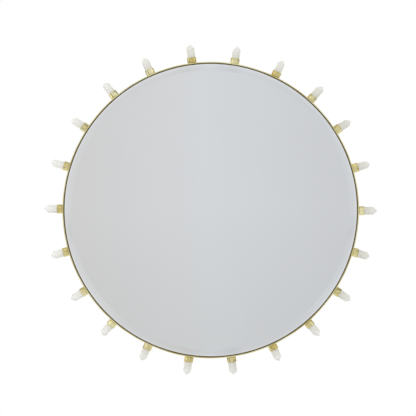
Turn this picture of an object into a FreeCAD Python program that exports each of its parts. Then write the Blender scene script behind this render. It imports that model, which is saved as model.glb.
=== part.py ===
"""Round bevelled wall mirror in a thin brass band, ringed by quartz points in turned brass cups.

The origin is the mirror's centre on the wall plane. +Z is up, the wall is at Y = 0 and the mirror faces -Y.
"""

import FreeCAD, Part
import math
import os

# Frame band, a rolled strip
band_outer_radius = 266.5
band_wall = 1.8
band_depth = 30.0
band_edge_round = 0.4

# Mirror glass
glass_thickness = 5.0
glass_recess = 2.0
shadow_gap = 1.6
bevel_width = 12.1
bevel_drop = 2.0

# Tape between the glass and the board
tape_thickness = 1.0
tape_width = 25.0
tape_inset = 22.0
tape_place_shares = (-0.66, -0.22, 0.22, 0.66)

# Backing board, rebated behind its full-size lip to clear the heads of the cup screws
board_thickness = 9.0
board_gap = 0.15
lip_thickness = 3.1
lip_head_gap = 0.4
rebate_head_gap = 0.6

# Mounting tabs, each between two cups
tab_thickness = 1.5
tab_width = 24.0
tab_reach = 26.0
tab_wall_gap = 4.0
tab_hole_inset = 9.0
tab_corner_round = 3.0
tab_pitch_shares = (2.5, 8.5, 13.5, 19.5)

# Quartz points and their cups
point_count = 22
point_corner_radius = 7.15
point_length = 28.2
point_tip_height = 5.8
point_taper = 0.13
cup_wall = 0.75
cup_bore_gap = 0.2
cup_bore_depth = 6.0
cup_floor = 3.1
cup_neck_height = 1.3
cup_neck_inset = 2.0
cup_round = 0.35
cup_rim_round = 0.55
resin_bed = 0.8
resin_below_rim = 1.0

# Screws
cup_screw_radius = 2.0
cup_screw_head_radius = 3.5
cup_screw_head_height = 2.2
cup_screw_end_gap = 0.5
thread_gap = 0.05
band_hole_gap = 0.2
wood_screw_radius = 1.9
wood_screw_head_radius = 3.6
wood_screw_head_height = 2.0
wood_screw_length = 8.0
wood_screw_hole_gap = 0.3
pilot_depth_gap = 0.4
recess_width = 1.0
recess_depth = 1.1
recess_arm_share = 1.1
head_round = 0.9

# Strap hangers and their D-rings
strap_thickness = 2.0
strap_width = 13.0
strap_length = 36.0
strap_corner_round = 2.0
strap_hole_places = (10.0, 28.0)
strap_screw_radius = 1.75
strap_screw_head_radius = 3.4
strap_screw_head_height = 1.7
strap_screw_length = 7.0
hanger_inset = 72.55
hanger_angle = 38.62
ring_wire_radius = 1.3
ring_running_gap = 0.08
ring_plate_gap = 0.4
ring_side_play = 0.5
ring_corner_radius = 3.0
ring_leg = 2.0

# How far a cutting tool runs past what it cuts
overrun = 1.0

# How near two measured sizes are when they count as the same, and how nearly an edge points straight
# at the wall when it counts as square to it
match_gap = 0.001
square_share = 0.999

# Each quartz point, anticlockwise from the right: its shift along the ring in shares of the pitch, its
# extra length in shares of the tip's height, its tip's offset and blunt width in shares of the corner
# radius, and the drop from the tip to its left, right, front and back shoulders in shares of the tip's height
point_shares = (
    (-0.016, 0.14, 0.12, 0.00, 1.21, 1.19, 1.00, 0.92),
    (-0.005, -0.10, 0.00, 0.05, 1.18, 0.98, 0.86, 1.06),
    (-0.012, 0.02, -0.02, 0.00, 1.46, 1.22, 1.10, 0.88),
    (-0.077, 0.14, 0.03, 0.06, 1.15, 1.03, 0.94, 1.08),
    (-0.074, 0.02, 0.10, 0.00, 1.08, 1.20, 1.12, 0.90),
    (-0.067, -0.04, -0.05, 0.00, 1.15, 1.03, 0.88, 1.00),
    (-0.060, 0.24, 0.03, 0.04, 1.06, 1.30, 1.14, 0.94),
    (-0.051, 0.02, -0.05, 0.22, 1.21, 1.21, 0.90, 0.96),
    (-0.051, -0.04, 0.10, 0.00, 1.03, 1.03, 1.06, 0.86),
    (-0.032, -0.16, 0.00, 0.34, 0.66, 0.72, 0.84, 0.90),
    (-0.030, 0.14, -0.12, 0.00, 1.30, 0.97, 1.16, 0.98),
    (-0.026, 0.02, 0.10, 0.04, 1.18, 1.09, 1.00, 0.90),
    (-0.016, -0.04, 0.05, 0.00, 1.15, 1.09, 0.92, 1.10),
    (0.000, -0.04, 0.05, 0.06, 1.21, 1.15, 1.10, 0.94),
    (-0.007, -0.16, 0.03, 0.00, 0.66, 1.15, 0.90, 1.04),
    (-0.012, -0.12, 0.16, 0.00, 0.78, 1.15, 1.12, 0.88),
    (-0.009, 0.08, 0.12, 0.00, 1.03, 1.31, 0.94, 1.00),
    (-0.014, -0.04, 0.00, 0.08, 0.90, 1.03, 1.08, 0.90),
    (-0.005, -0.10, -0.03, 0.00, 1.18, 1.06, 0.86, 1.02),
    (0.000, 0.08, 0.03, 0.05, 1.48, 1.24, 1.06, 0.94),
    (-0.007, 0.14, 0.00, 0.00, 1.15, 1.21, 0.98, 1.12),
    (-0.002, -0.16, 0.00, 0.10, 0.97, 1.03, 1.10, 0.90),
)

# Degrees that each point's side slants by, towards the right where positive, and the degrees that it is
# turned by in its cup
point_slants = (0, 0, 0, 0, 1, 0, 0, -1, 0, 0, -4, 1, 0, 1, 2, 3, 2, 0, -1, 0, 0, 0)
point_turns = (2, -9, 7, -5, 11, -12, 4, -7, 10, 13, -6, 0, 8, -4, 12, -10, 5, 9, -3, 6, -11, 3)

# Sizes that follow from the ones above
hex_sides = 6
band_inner_radius = band_outer_radius - band_wall
glass_radius = band_inner_radius - shadow_gap
glass_front_y = -(band_depth - glass_recess)
glass_back_y = glass_front_y + glass_thickness
board_front_y = glass_back_y + tape_thickness
board_back_y = board_front_y + board_thickness
lip_back_y = board_front_y + lip_thickness
board_radius = band_inner_radius - board_gap
rebate_radius = band_inner_radius - cup_screw_head_height - rebate_head_gap
point_y = lip_back_y + lip_head_gap + cup_screw_head_radius
point_pitch = 360.0 / point_count
cup_bore_radius = point_corner_radius + cup_bore_gap
cup_radius = cup_bore_radius + cup_wall
cup_neck_radius = cup_radius - cup_neck_inset
cup_floor_height = cup_neck_height + cup_floor
cup_height = cup_floor_height + cup_bore_depth
thread_hole_radius = cup_screw_radius + thread_gap
band_hole_radius = cup_screw_radius + band_hole_gap
wire_hole_radius = ring_wire_radius + ring_running_gap
hanger_offset = (board_radius - hanger_inset) * math.cos(math.radians(hanger_angle))
hanger_height = (board_radius - hanger_inset) * math.sin(math.radians(hanger_angle))
pivot_y = board_back_y + strap_thickness + ring_plate_gap + ring_wire_radius
ring_half_width = strap_width / 2 + ring_side_play + ring_corner_radius

UP = FreeCAD.Vector(0, 0, 1)
REARWARD = FreeCAD.Vector(0, 1, 0)
RIGHTWARD = FreeCAD.Vector(1, 0, 0)
ORIGIN = FreeCAD.Vector(0, 0, 0)


def on_ring(angle):
    """Place for a piece drawn with +Z pointing outwards, at an angle anticlockwise from the right."""
    return FreeCAD.Placement(ORIGIN, FreeCAD.Rotation(REARWARD, 90.0 - angle))


def point_angle(index):
    """Angle of one quartz point, anticlockwise from the right as seen from the front."""
    shift_share = point_shares[index % len(point_shares)][0]
    return (index + shift_share) * point_pitch


def turned(outline, axis, sweep=360.0):
    """Solid turned about an axis through the origin from a closed outline of points."""
    wire = Part.makePolygon(outline + [outline[0]])
    return Part.Face(wire).revolve(ORIGIN, axis, sweep)


def turned_about_z(outline):
    """Solid turned about +Z from an outline of (radius, height)."""
    return turned([FreeCAD.Vector(radius, 0, height) for radius, height in outline], UP)


def turned_about_y(outline, sweep=360.0):
    """Solid turned about +Y from an outline of (radius, depth)."""
    return turned([FreeCAD.Vector(radius, y, 0) for radius, y in outline], REARWARD, sweep)


def circle_edges(shape, radius, height):
    """The full circles of one radius that lie at one height on a piece turned about +Z."""
    circles = [edge for edge in shape.Edges if isinstance(edge.Curve, Part.Circle)]
    return [
        edge
        for edge in circles
        if abs(edge.Curve.Radius - radius) < match_gap and abs(edge.Curve.Center.z - height) < match_gap
    ]


def square_edges(shape):
    """The straight edges that run front to back, square to the wall."""
    lines = [edge for edge in shape.Edges if isinstance(edge.Curve, Part.Line)]
    return [edge for edge in lines if abs(edge.tangentAt(edge.FirstParameter).y) > square_share]


def frame_band():
    """Rolled band with its edges eased and a hole for each cup screw."""
    band = turned_about_y([
        (band_inner_radius, 0),
        (band_outer_radius, 0),
        (band_outer_radius, -band_depth),
        (band_inner_radius, -band_depth),
    ])
    front_edges = [edge for edge in band.Edges if edge.BoundBox.YMax < point_y]
    band = band.makeFillet(band_edge_round, front_edges)
    hole = Part.makeCylinder(
        band_hole_radius,
        band_wall + 2 * overrun,
        FreeCAD.Vector(0, point_y, band_inner_radius - overrun),
        UP,
    )
    for index in range(point_count):
        drill = hole.copy()
        drill.Placement = on_ring(point_angle(index))
        band = band.cut(drill)
    return band


def mirror_glass():
    """Flat glass disc with a wide polished bevel round its front."""
    return turned_about_y([
        (0, glass_back_y),
        (glass_radius, glass_back_y),
        (glass_radius, glass_front_y + bevel_drop),
        (glass_radius - bevel_width, glass_front_y),
        (0, glass_front_y),
    ])


def glass_tape_strips():
    """Upright strips of foam tape across the back of the glass."""
    reach = glass_radius - tape_inset
    strips = []
    for place_share in tape_place_shares:
        middle = reach * place_share
        half_length = math.sqrt(reach**2 - (abs(middle) + tape_width / 2) ** 2)
        corner = FreeCAD.Vector(middle - tape_width / 2, glass_back_y, -half_length)
        strips.append(Part.makeBox(tape_width, tape_thickness, 2 * half_length, corner))
    return Part.makeCompound(strips)


def tab_angles():
    """Angles of the mounting tabs, each midway between two quartz points."""
    return [pitch_share * point_pitch for pitch_share in tab_pitch_shares]


def tab_screw_place(angle):
    """Place for a tab's screw, drawn with +Z driving into the board."""
    radius = band_inner_radius - tab_reach + tab_hole_inset
    head = FreeCAD.Placement(
        FreeCAD.Vector(0, board_back_y + tab_thickness, radius),
        FreeCAD.Rotation(UP, -REARWARD),
    )
    return on_ring(angle).multiply(head)


def strap_screw_places():
    """Places for the strap screws, drawn with +Z driving into the board from the strap's face."""
    places = []
    for side in (-1, 1):
        for drop in strap_hole_places:
            head = FreeCAD.Vector(side * hanger_offset, board_back_y + strap_thickness, hanger_height - drop)
            places.append(FreeCAD.Placement(head, FreeCAD.Rotation(UP, -REARWARD)))
    return places


def backing_board():
    """Board with a full-size front lip, a rebated rear edge and a pilot hole for each wood screw."""
    board = turned_about_y([
        (0, board_front_y),
        (board_radius, board_front_y),
        (board_radius, lip_back_y),
        (rebate_radius, lip_back_y),
        (rebate_radius, board_back_y),
        (0, board_back_y),
    ])
    tab_pilot = Part.makeCylinder(wood_screw_radius + thread_gap, wood_screw_length + pilot_depth_gap)
    strap_pilot = Part.makeCylinder(strap_screw_radius + thread_gap, strap_screw_length + pilot_depth_gap)
    for angle in tab_angles():
        drill = tab_pilot.copy()
        drill.Placement = tab_screw_place(angle)
        board = board.cut(drill)
    for place in strap_screw_places():
        drill = strap_pilot.copy()
        drill.Placement = place
        board = board.cut(drill)
    return board


def mounting_tab(angle):
    """Angle tab: a leg welded to the band's inner face and a foot on the back of the board."""
    sweep = math.degrees(tab_width / band_inner_radius)
    wall_face = band_inner_radius - tab_thickness
    foot_end = band_inner_radius - tab_reach
    foot_face_y = board_back_y + tab_thickness
    tab = turned_about_y(
        [
            (foot_end, board_back_y),
            (band_inner_radius, board_back_y),
            (band_inner_radius, -tab_wall_gap),
            (wall_face, -tab_wall_gap),
            (wall_face, foot_face_y),
            (foot_end, foot_face_y),
        ],
        sweep,
    )
    tab.Placement = FreeCAD.Placement(ORIGIN, FreeCAD.Rotation(REARWARD, -sweep / 2))
    middle = (band_inner_radius + foot_end) / 2
    corners = [edge for edge in square_edges(tab) if edge.CenterOfMass.x < middle]
    tab = tab.makeFillet(tab_corner_round, corners)
    # Drawn about +X, so it is turned to +Z before it goes on the ring
    tab.Placement = FreeCAD.Placement(ORIGIN, FreeCAD.Rotation(REARWARD, -90.0)).multiply(tab.Placement)
    tab.Placement = on_ring(angle).multiply(tab.Placement)
    drill = Part.makeCylinder(wood_screw_radius + wood_screw_hole_gap, tab_thickness + 2 * overrun)
    drill.Placement = tab_screw_place(angle).multiply(
        FreeCAD.Placement(FreeCAD.Vector(0, 0, -overrun), FreeCAD.Rotation())
    )
    return tab.cut(drill)


def cross_recess(top, head_radius):
    """Cross-shaped driver recess, cut into a head whose top lies at a height."""
    arm = head_radius * recess_arm_share
    bars = []
    for length, width in ((arm, recess_width), (recess_width, arm)):
        corner = FreeCAD.Vector(-length / 2, -width / 2, top - overrun)
        bars.append(Part.makeBox(length, width, recess_depth + overrun, corner))
    return bars[0].fuse(bars[1])


def pan_screw(radius, length, head_radius, head_height):
    """Pan-head screw with its seat at the origin, its shank along +Z and its head along -Z."""
    screw = turned_about_z([
        (0, -head_height),
        (head_radius, -head_height),
        (head_radius, 0),
        (radius, 0),
        (radius, length),
        (0, length),
    ])
    screw = screw.makeFillet(head_round, circle_edges(screw, head_radius, -head_height))
    return screw.cut(cross_recess(-head_height, head_radius))


def flat_screw(radius, length, head_radius, head_height):
    """Countersunk screw with its flat top at the origin and its shank along +Z."""
    screw = turned_about_z([
        (0, 0),
        (head_radius, 0),
        (radius, head_height),
        (radius, length),
        (0, length),
    ])
    return screw.cut(cross_recess(0, head_radius))


def placed(shape, place):
    """Copy of a piece at a place."""
    copy = shape.copy()
    copy.Placement = place
    return copy


def cup_seat_radius():
    """Where a flat screw head meets the curved inner face of the band."""
    return math.sqrt(band_inner_radius**2 - cup_screw_head_radius**2)


def cup_screws():
    """A machine screw from inside the band into each cup."""
    seat = cup_seat_radius()
    length = band_outer_radius + cup_floor_height - cup_screw_end_gap - seat
    screw = pan_screw(cup_screw_radius, length, cup_screw_head_radius, cup_screw_head_height)
    seated = FreeCAD.Placement(FreeCAD.Vector(0, point_y, seat), FreeCAD.Rotation())
    return Part.makeCompound([
        placed(screw, on_ring(point_angle(index)).multiply(seated)) for index in range(point_count)
    ])


def tab_screws():
    """A wood screw through each mounting tab into the board."""
    screw = pan_screw(wood_screw_radius, wood_screw_length, wood_screw_head_radius, wood_screw_head_height)
    return Part.makeCompound([placed(screw, tab_screw_place(angle)) for angle in tab_angles()])


def strap_screws():
    """Two countersunk wood screws through each strap into the board."""
    screw = flat_screw(
        strap_screw_radius, strap_screw_length, strap_screw_head_radius, strap_screw_head_height
    )
    return Part.makeCompound([placed(screw, place) for place in strap_screw_places()])


def point_cup():
    """Turned cup on a short neck, drawn with its foot at the origin and its mouth towards +Z."""
    cup = turned_about_z([
        (thread_hole_radius, 0),
        (cup_neck_radius, 0),
        (cup_neck_radius, cup_neck_height),
        (cup_radius, cup_neck_height),
        (cup_radius, cup_height),
        (cup_bore_radius, cup_height),
        (cup_bore_radius, cup_floor_height),
        (thread_hole_radius, cup_floor_height),
    ])
    cup = cup.makeFillet(cup_round, circle_edges(cup, cup_radius, cup_neck_height))
    rim_round = min(cup_rim_round, cup_wall * 4 / 5)
    return cup.makeFillet(rim_round, circle_edges(cup, cup_radius, cup_height))


def hexagon(corner_radius, turn, height):
    """Corners of a hexagon at a height, with one side facing the front when the turn is zero."""
    corners = []
    for side in range(hex_sides):
        around = math.radians(turn + (side + 0.5) * 360.0 / hex_sides)
        corners.append(
            FreeCAD.Vector(corner_radius * math.sin(around), -corner_radius * math.cos(around), height)
        )
    return corners


def prism(lower, upper):
    """Straight-sided solid between two outlines with as many corners."""
    faces = [Part.Face(Part.makePolygon(ends + [ends[0]])) for ends in (lower, upper)]
    for side in range(len(lower)):
        after = (side + 1) % len(lower)
        outline = [lower[side], lower[after], upper[after], upper[side], lower[side]]
        faces.append(Part.Face(Part.makePolygon(outline)))
    return Part.Solid(Part.makeShell(faces))


def trimmed(solid, corner, outward):
    """Solid with everything cut away beyond a plane through a corner."""
    reach = 2 * point_length
    waste = Part.makeBox(reach, reach, reach, FreeCAD.Vector(-reach / 2, -reach / 2, 0))
    waste.Placement = FreeCAD.Placement(corner, FreeCAD.Rotation(UP, outward))
    return solid.cut(waste)


def quartz_point(index):
    """One natural point, drawn with its base at the origin and its tip towards +Z."""
    row = index % len(point_shares)
    rise_share, tip_share, blunt_share = point_shares[row][1:4]
    left_share, right_share, front_share, back_share = point_shares[row][4:]
    turn = point_turns[row]
    tip_height = point_length + rise_share * point_tip_height
    tip_offset = tip_share * point_corner_radius
    half_blunt = blunt_share * point_corner_radius / 2
    top_radius = point_corner_radius - point_taper
    full_height = point_length + point_tip_height
    solid = prism(hexagon(point_corner_radius, turn, 0), hexagon(top_radius, turn, full_height))
    drop_shares = (front_share, right_share, right_share, back_share, left_share, left_share)
    for side, drop_share in enumerate(drop_shares):
        around = math.radians(turn + side * 360.0 / hex_sides)
        across = (side in (1, 2)) - (side in (4, 5))
        apex = FreeCAD.Vector(tip_offset + across * half_blunt, 0, tip_height)
        run = (top_radius - across * apex.x) * math.cos(math.pi / hex_sides)
        slope = drop_share * point_tip_height / run
        outward = FreeCAD.Vector(math.sin(around) * slope, -math.cos(around) * slope, 1)
        solid = trimmed(solid, apex, outward)
    slant = math.radians(abs(point_slants[row]))
    if slant:
        leaning_side = -math.copysign(1, point_slants[row])
        rim_height = cup_bore_depth - resin_bed
        corner = FreeCAD.Vector(leaning_side * top_radius * math.cos(math.radians(turn)), 0, rim_height)
        solid = trimmed(solid, corner, FreeCAD.Vector(leaning_side * math.cos(slant), 0, math.sin(slant)))
    return solid


def resin(point):
    """Resin that fills a cup round the base of its quartz point."""
    fill = Part.makeCylinder(
        cup_bore_radius,
        cup_bore_depth - resin_below_rim,
        FreeCAD.Vector(0, 0, -resin_bed),
        UP,
    )
    return fill.cut(point)


def set_points():
    """The quartz points, their cups and their resin beds, in their places round the band."""
    points, cups, beds = {}, {}, []
    cup = point_cup()
    foot = FreeCAD.Vector(0, point_y, band_outer_radius)
    base = foot + UP * (cup_floor_height + resin_bed)
    for index in range(point_count):
        place = on_ring(point_angle(index))
        on_foot = place.multiply(FreeCAD.Placement(foot, FreeCAD.Rotation()))
        on_base = place.multiply(FreeCAD.Placement(base, FreeCAD.Rotation()))
        point = quartz_point(index)
        label = f"{index + 1:02d}"
        points["quartz_point_" + label] = placed(point, on_base)
        cups["point_cup_" + label] = placed(cup, on_foot)
        beds.append(placed(resin(point), on_base))
    return {**points, **cups, "point_resin": Part.makeCompound(beds)}


def hanger_strap(side):
    """Steel strap screwed flat to the board, its top rolled into a knuckle for the ring."""
    middle = side * hanger_offset
    corner = FreeCAD.Vector(middle - strap_width / 2, board_back_y, hanger_height - strap_length)
    plate = Part.makeBox(strap_width, strap_thickness, strap_length, corner)
    middle_height = hanger_height - strap_length / 2
    low_corners = [edge for edge in square_edges(plate) if edge.CenterOfMass.z < middle_height]
    plate = plate.makeFillet(strap_corner_round, low_corners)
    knuckle_start = FreeCAD.Vector(middle - strap_width / 2, pivot_y, hanger_height)
    knuckle = Part.makeCylinder(wire_hole_radius + strap_thickness, strap_width, knuckle_start, RIGHTWARD)
    strap = plate.fuse(knuckle).removeSplitter()
    bore_start = knuckle_start - RIGHTWARD * overrun
    strap = strap.cut(Part.makeCylinder(wire_hole_radius, strap_width + 2 * overrun, bore_start, RIGHTWARD))
    countersink = turned_about_z([
        (0, 0),
        (strap_screw_head_radius, 0),
        (strap_screw_radius, strap_screw_head_height),
        (strap_screw_radius, strap_thickness + overrun),
        (0, strap_thickness + overrun),
    ])
    for place in strap_screw_places():
        strap = strap.cut(placed(countersink, place))
    return strap


def ring_path():
    """Centre line of a D-ring: a straight bar in the knuckle, two corners, two legs and a half-round bow."""
    bar = ring_half_width - ring_corner_radius
    slack = ring_corner_radius * (1 - math.sqrt(0.5))
    leg_top = -ring_corner_radius
    leg_end = leg_top - ring_leg

    def spot(x, z):
        return FreeCAD.Vector(x, 0, z)

    return Part.Wire([
        Part.LineSegment(spot(-bar, 0), spot(bar, 0)).toShape(),
        Part.Arc(
            spot(bar, 0), spot(ring_half_width - slack, -slack), spot(ring_half_width, leg_top)
        ).toShape(),
        Part.LineSegment(spot(ring_half_width, leg_top), spot(ring_half_width, leg_end)).toShape(),
        Part.Arc(
            spot(ring_half_width, leg_end),
            spot(0, leg_end - ring_half_width),
            spot(-ring_half_width, leg_end),
        ).toShape(),
        Part.LineSegment(spot(-ring_half_width, leg_end), spot(-ring_half_width, leg_top)).toShape(),
        Part.Arc(
            spot(-ring_half_width, leg_top), spot(slack - ring_half_width, -slack), spot(-bar, 0)
        ).toShape(),
    ])


def hanger_ring(side):
    """Closed D-ring of round wire, hanging from its knuckle."""
    path = ring_path()
    start = path.Edges[0].valueAt(path.Edges[0].FirstParameter)
    section = Part.Wire(Part.Circle(start, RIGHTWARD, ring_wire_radius).toShape())
    ring = path.makePipeShell([section], True, False)
    ring.translate(FreeCAD.Vector(side * hanger_offset, pivot_y, hanger_height))
    return ring


def main():
    """Builds every piece and writes each one as its own file."""
    pieces = {
        "frame_band": frame_band(),
        "mirror_glass": mirror_glass(),
        "glass_tape_strips": glass_tape_strips(),
        "backing_board": backing_board(),
        "tab_screws": tab_screws(),
        "cup_screws": cup_screws(),
        "strap_screws": strap_screws(),
        "hanger_strap_left": hanger_strap(-1),
        "hanger_strap_right": hanger_strap(1),
        "hanger_ring_left": hanger_ring(-1),
        "hanger_ring_right": hanger_ring(1),
    }
    for number, angle in enumerate(tab_angles(), 1):
        pieces[f"mounting_tab_{number}"] = mounting_tab(angle)
    pieces.update(set_points())
    os.makedirs("parts", exist_ok=True)
    for node, shape in pieces.items():
        if not shape.isValid():
            print("not valid:", node)
        shape.exportStep(f"parts/{node}.step")
    print(len(pieces), "nodes")


main()
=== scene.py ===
"""Dresses the crystal mirror: bevelled glass in a rolled brass band, ringed by quartz points in turned cups.

Everything is in metres and in the frame's own axes. The wall is at Y = 0, the mirror faces -Y and +Z is up.
"""

import logging
import math
from dataclasses import dataclass, field
from enum import Enum
from typing import Callable, Iterable, Sequence

import bmesh
import bpy
from mathutils import Matrix, Vector


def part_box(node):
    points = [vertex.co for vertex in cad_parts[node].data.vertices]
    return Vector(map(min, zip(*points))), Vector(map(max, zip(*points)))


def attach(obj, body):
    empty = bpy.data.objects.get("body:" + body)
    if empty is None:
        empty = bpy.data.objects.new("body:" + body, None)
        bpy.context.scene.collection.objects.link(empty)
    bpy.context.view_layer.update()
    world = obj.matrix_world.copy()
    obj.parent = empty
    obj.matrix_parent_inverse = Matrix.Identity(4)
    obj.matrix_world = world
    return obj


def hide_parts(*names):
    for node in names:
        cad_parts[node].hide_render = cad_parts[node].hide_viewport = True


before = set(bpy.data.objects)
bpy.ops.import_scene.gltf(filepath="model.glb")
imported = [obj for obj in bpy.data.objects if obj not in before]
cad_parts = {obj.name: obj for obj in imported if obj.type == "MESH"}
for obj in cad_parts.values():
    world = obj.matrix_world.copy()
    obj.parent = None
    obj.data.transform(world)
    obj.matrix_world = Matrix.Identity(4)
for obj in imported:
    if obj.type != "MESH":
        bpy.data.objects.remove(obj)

log = logging.getLogger("mirror")

MM = 0.001
FULL_TURN = 2 * math.pi
WELD_DISTANCE = 0.001 * MM
POINT_COUNT = 22
TAB_COUNT = 4

# Distances from the mirror's axis: the cups' rims and the quartz points' shoulders, which finishes follow
RIM_RADIUS = 277.0 * MM
SHOULDER_RADIUS = 295.0 * MM

# How many sides a drill has, and how many times a plate's thickness it is long
DRILL_SIDES = 32
DRILL_REACH = 4

# The least share of a unit vector along an axis at which a face looks along it, or an edge runs along it
LOOKS_ALONG = 0.5
RUNS_ALONG = 0.99

# The least angle at a plate's corner, well over the steps of its curves
PLATE_CORNER = math.radians(57)

Colour = tuple[float, float, float]
Corner = tuple[float, float, float]
Stop = tuple[float, Colour]
Edge = bmesh.types.BMEdge
Point = bmesh.types.BMVert
Material = bpy.types.Material
Object = bpy.types.Object
Socket = bpy.types.NodeSocket
Value = Socket | float | Colour

WHITE: Colour = (1.0, 1.0, 1.0)

RIGHTWARD = Vector((1.0, 0.0, 0.0))
REARWARD = Vector((0.0, 1.0, 0.0))
UPWARD = Vector((0.0, 0.0, 1.0))
INTO_BOARD = Matrix.Rotation(math.pi / 2, 4, RIGHTWARD)


class Body(Enum):
    """The bodies that the frame moves."""

    MIRROR = "mirror"
    RING_LEFT = "ring_left"
    RING_RIGHT = "ring_right"


class Slot(Enum):
    """The record's material slots, one named for each new piece."""

    QUARTZ = "quartz"
    BRASS = "brass"
    MIRROR = "mirror"
    BOARD = "mdf"
    SCREW = "zinc_screw"
    STEEL = "zinc_steel"


class Side(Enum):
    """The two hangers, as seen from the front."""

    LEFT = "left"
    RIGHT = "right"


class Grain(Enum):
    """The way that the fine lines of a metal surface run."""

    TURNED = "round each cup"
    ROLLED = "along the band"


class Plane(Enum):
    """The plane that an outline is drawn in: the directions of its sizes across and along."""

    LATHE_Z = ((1.0, 0.0, 0.0), (0.0, 0.0, 1.0))
    LATHE_Y = ((1.0, 0.0, 0.0), (0.0, 1.0, 0.0))
    SIDE = ((0.0, 1.0, 0.0), (0.0, 0.0, 1.0))

    def point(self, across: float, along: float) -> Vector:
        """Point of an outline in this plane."""
        return Vector(self.value[0]) * across + self.axis * along

    @property
    def axis(self) -> Vector:
        """The direction along the outline, about which a lathe turns it."""
        return Vector(self.value[1])


class Rounded(Enum):
    """What a rounding takes off."""

    CORNERS = "VERTICES"
    EDGES = "EDGES"


class Maths(Enum):
    """How two numbers are joined."""

    ADD = "ADD"
    MULTIPLY = "MULTIPLY"
    LARGER = "MAXIMUM"
    ROOT = "SQRT"


class Blend(Enum):
    """How one colour goes over another."""

    MIX = "MIX"
    MULTIPLY = "MULTIPLY"


# Places read from the frame


def extent(node: str, direction: Vector) -> tuple[float, float]:
    """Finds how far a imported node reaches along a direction.

    Args:
        node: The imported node's name.
        direction: A unit vector in the frame's axes.

    Returns:
        The lowest and highest distance along the direction, from the origin.
    """
    reaches = [vertex.co.dot(direction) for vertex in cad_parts[node].data.vertices]
    return min(reaches), max(reaches)


def area_centre(node: str) -> Vector:
    """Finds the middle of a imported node's surface.

    Args:
        node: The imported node's name.

    Returns:
        The mean of its faces' middles, each counted by its area.
    """
    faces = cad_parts[node].data.polygons
    total = sum(face.area for face in faces)
    return sum((face.center * face.area for face in faces), Vector()) / total


@dataclass(frozen=True)
class RingPlace:
    """A place round the mirror, facing straight outwards."""

    angle: float

    @classmethod
    def of_node(cls, node: str) -> "RingPlace":
        """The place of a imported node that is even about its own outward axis."""
        centre = area_centre(node)
        return cls(math.atan2(centre.z, centre.x))

    @property
    def outward(self) -> Vector:
        """Unit vector from the mirror's axis to this place."""
        return Vector((math.cos(self.angle), 0.0, math.sin(self.angle)))

    def matrix(self, radius: float, depth: float) -> Matrix:
        """Places a piece drawn with +Z outwards and its foot at the origin.

        Args:
            radius: Distance of its foot from the mirror's axis.
            depth: Place of its foot along Y.

        Returns:
            The matrix from the piece's own axes to the frame's.
        """
        clockwise = REARWARD.cross(self.outward)
        turn = Matrix((clockwise, REARWARD, self.outward)).transposed().to_4x4()
        return Matrix.Translation(self.outward * radius + REARWARD * depth) @ turn


# Shaping


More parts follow.
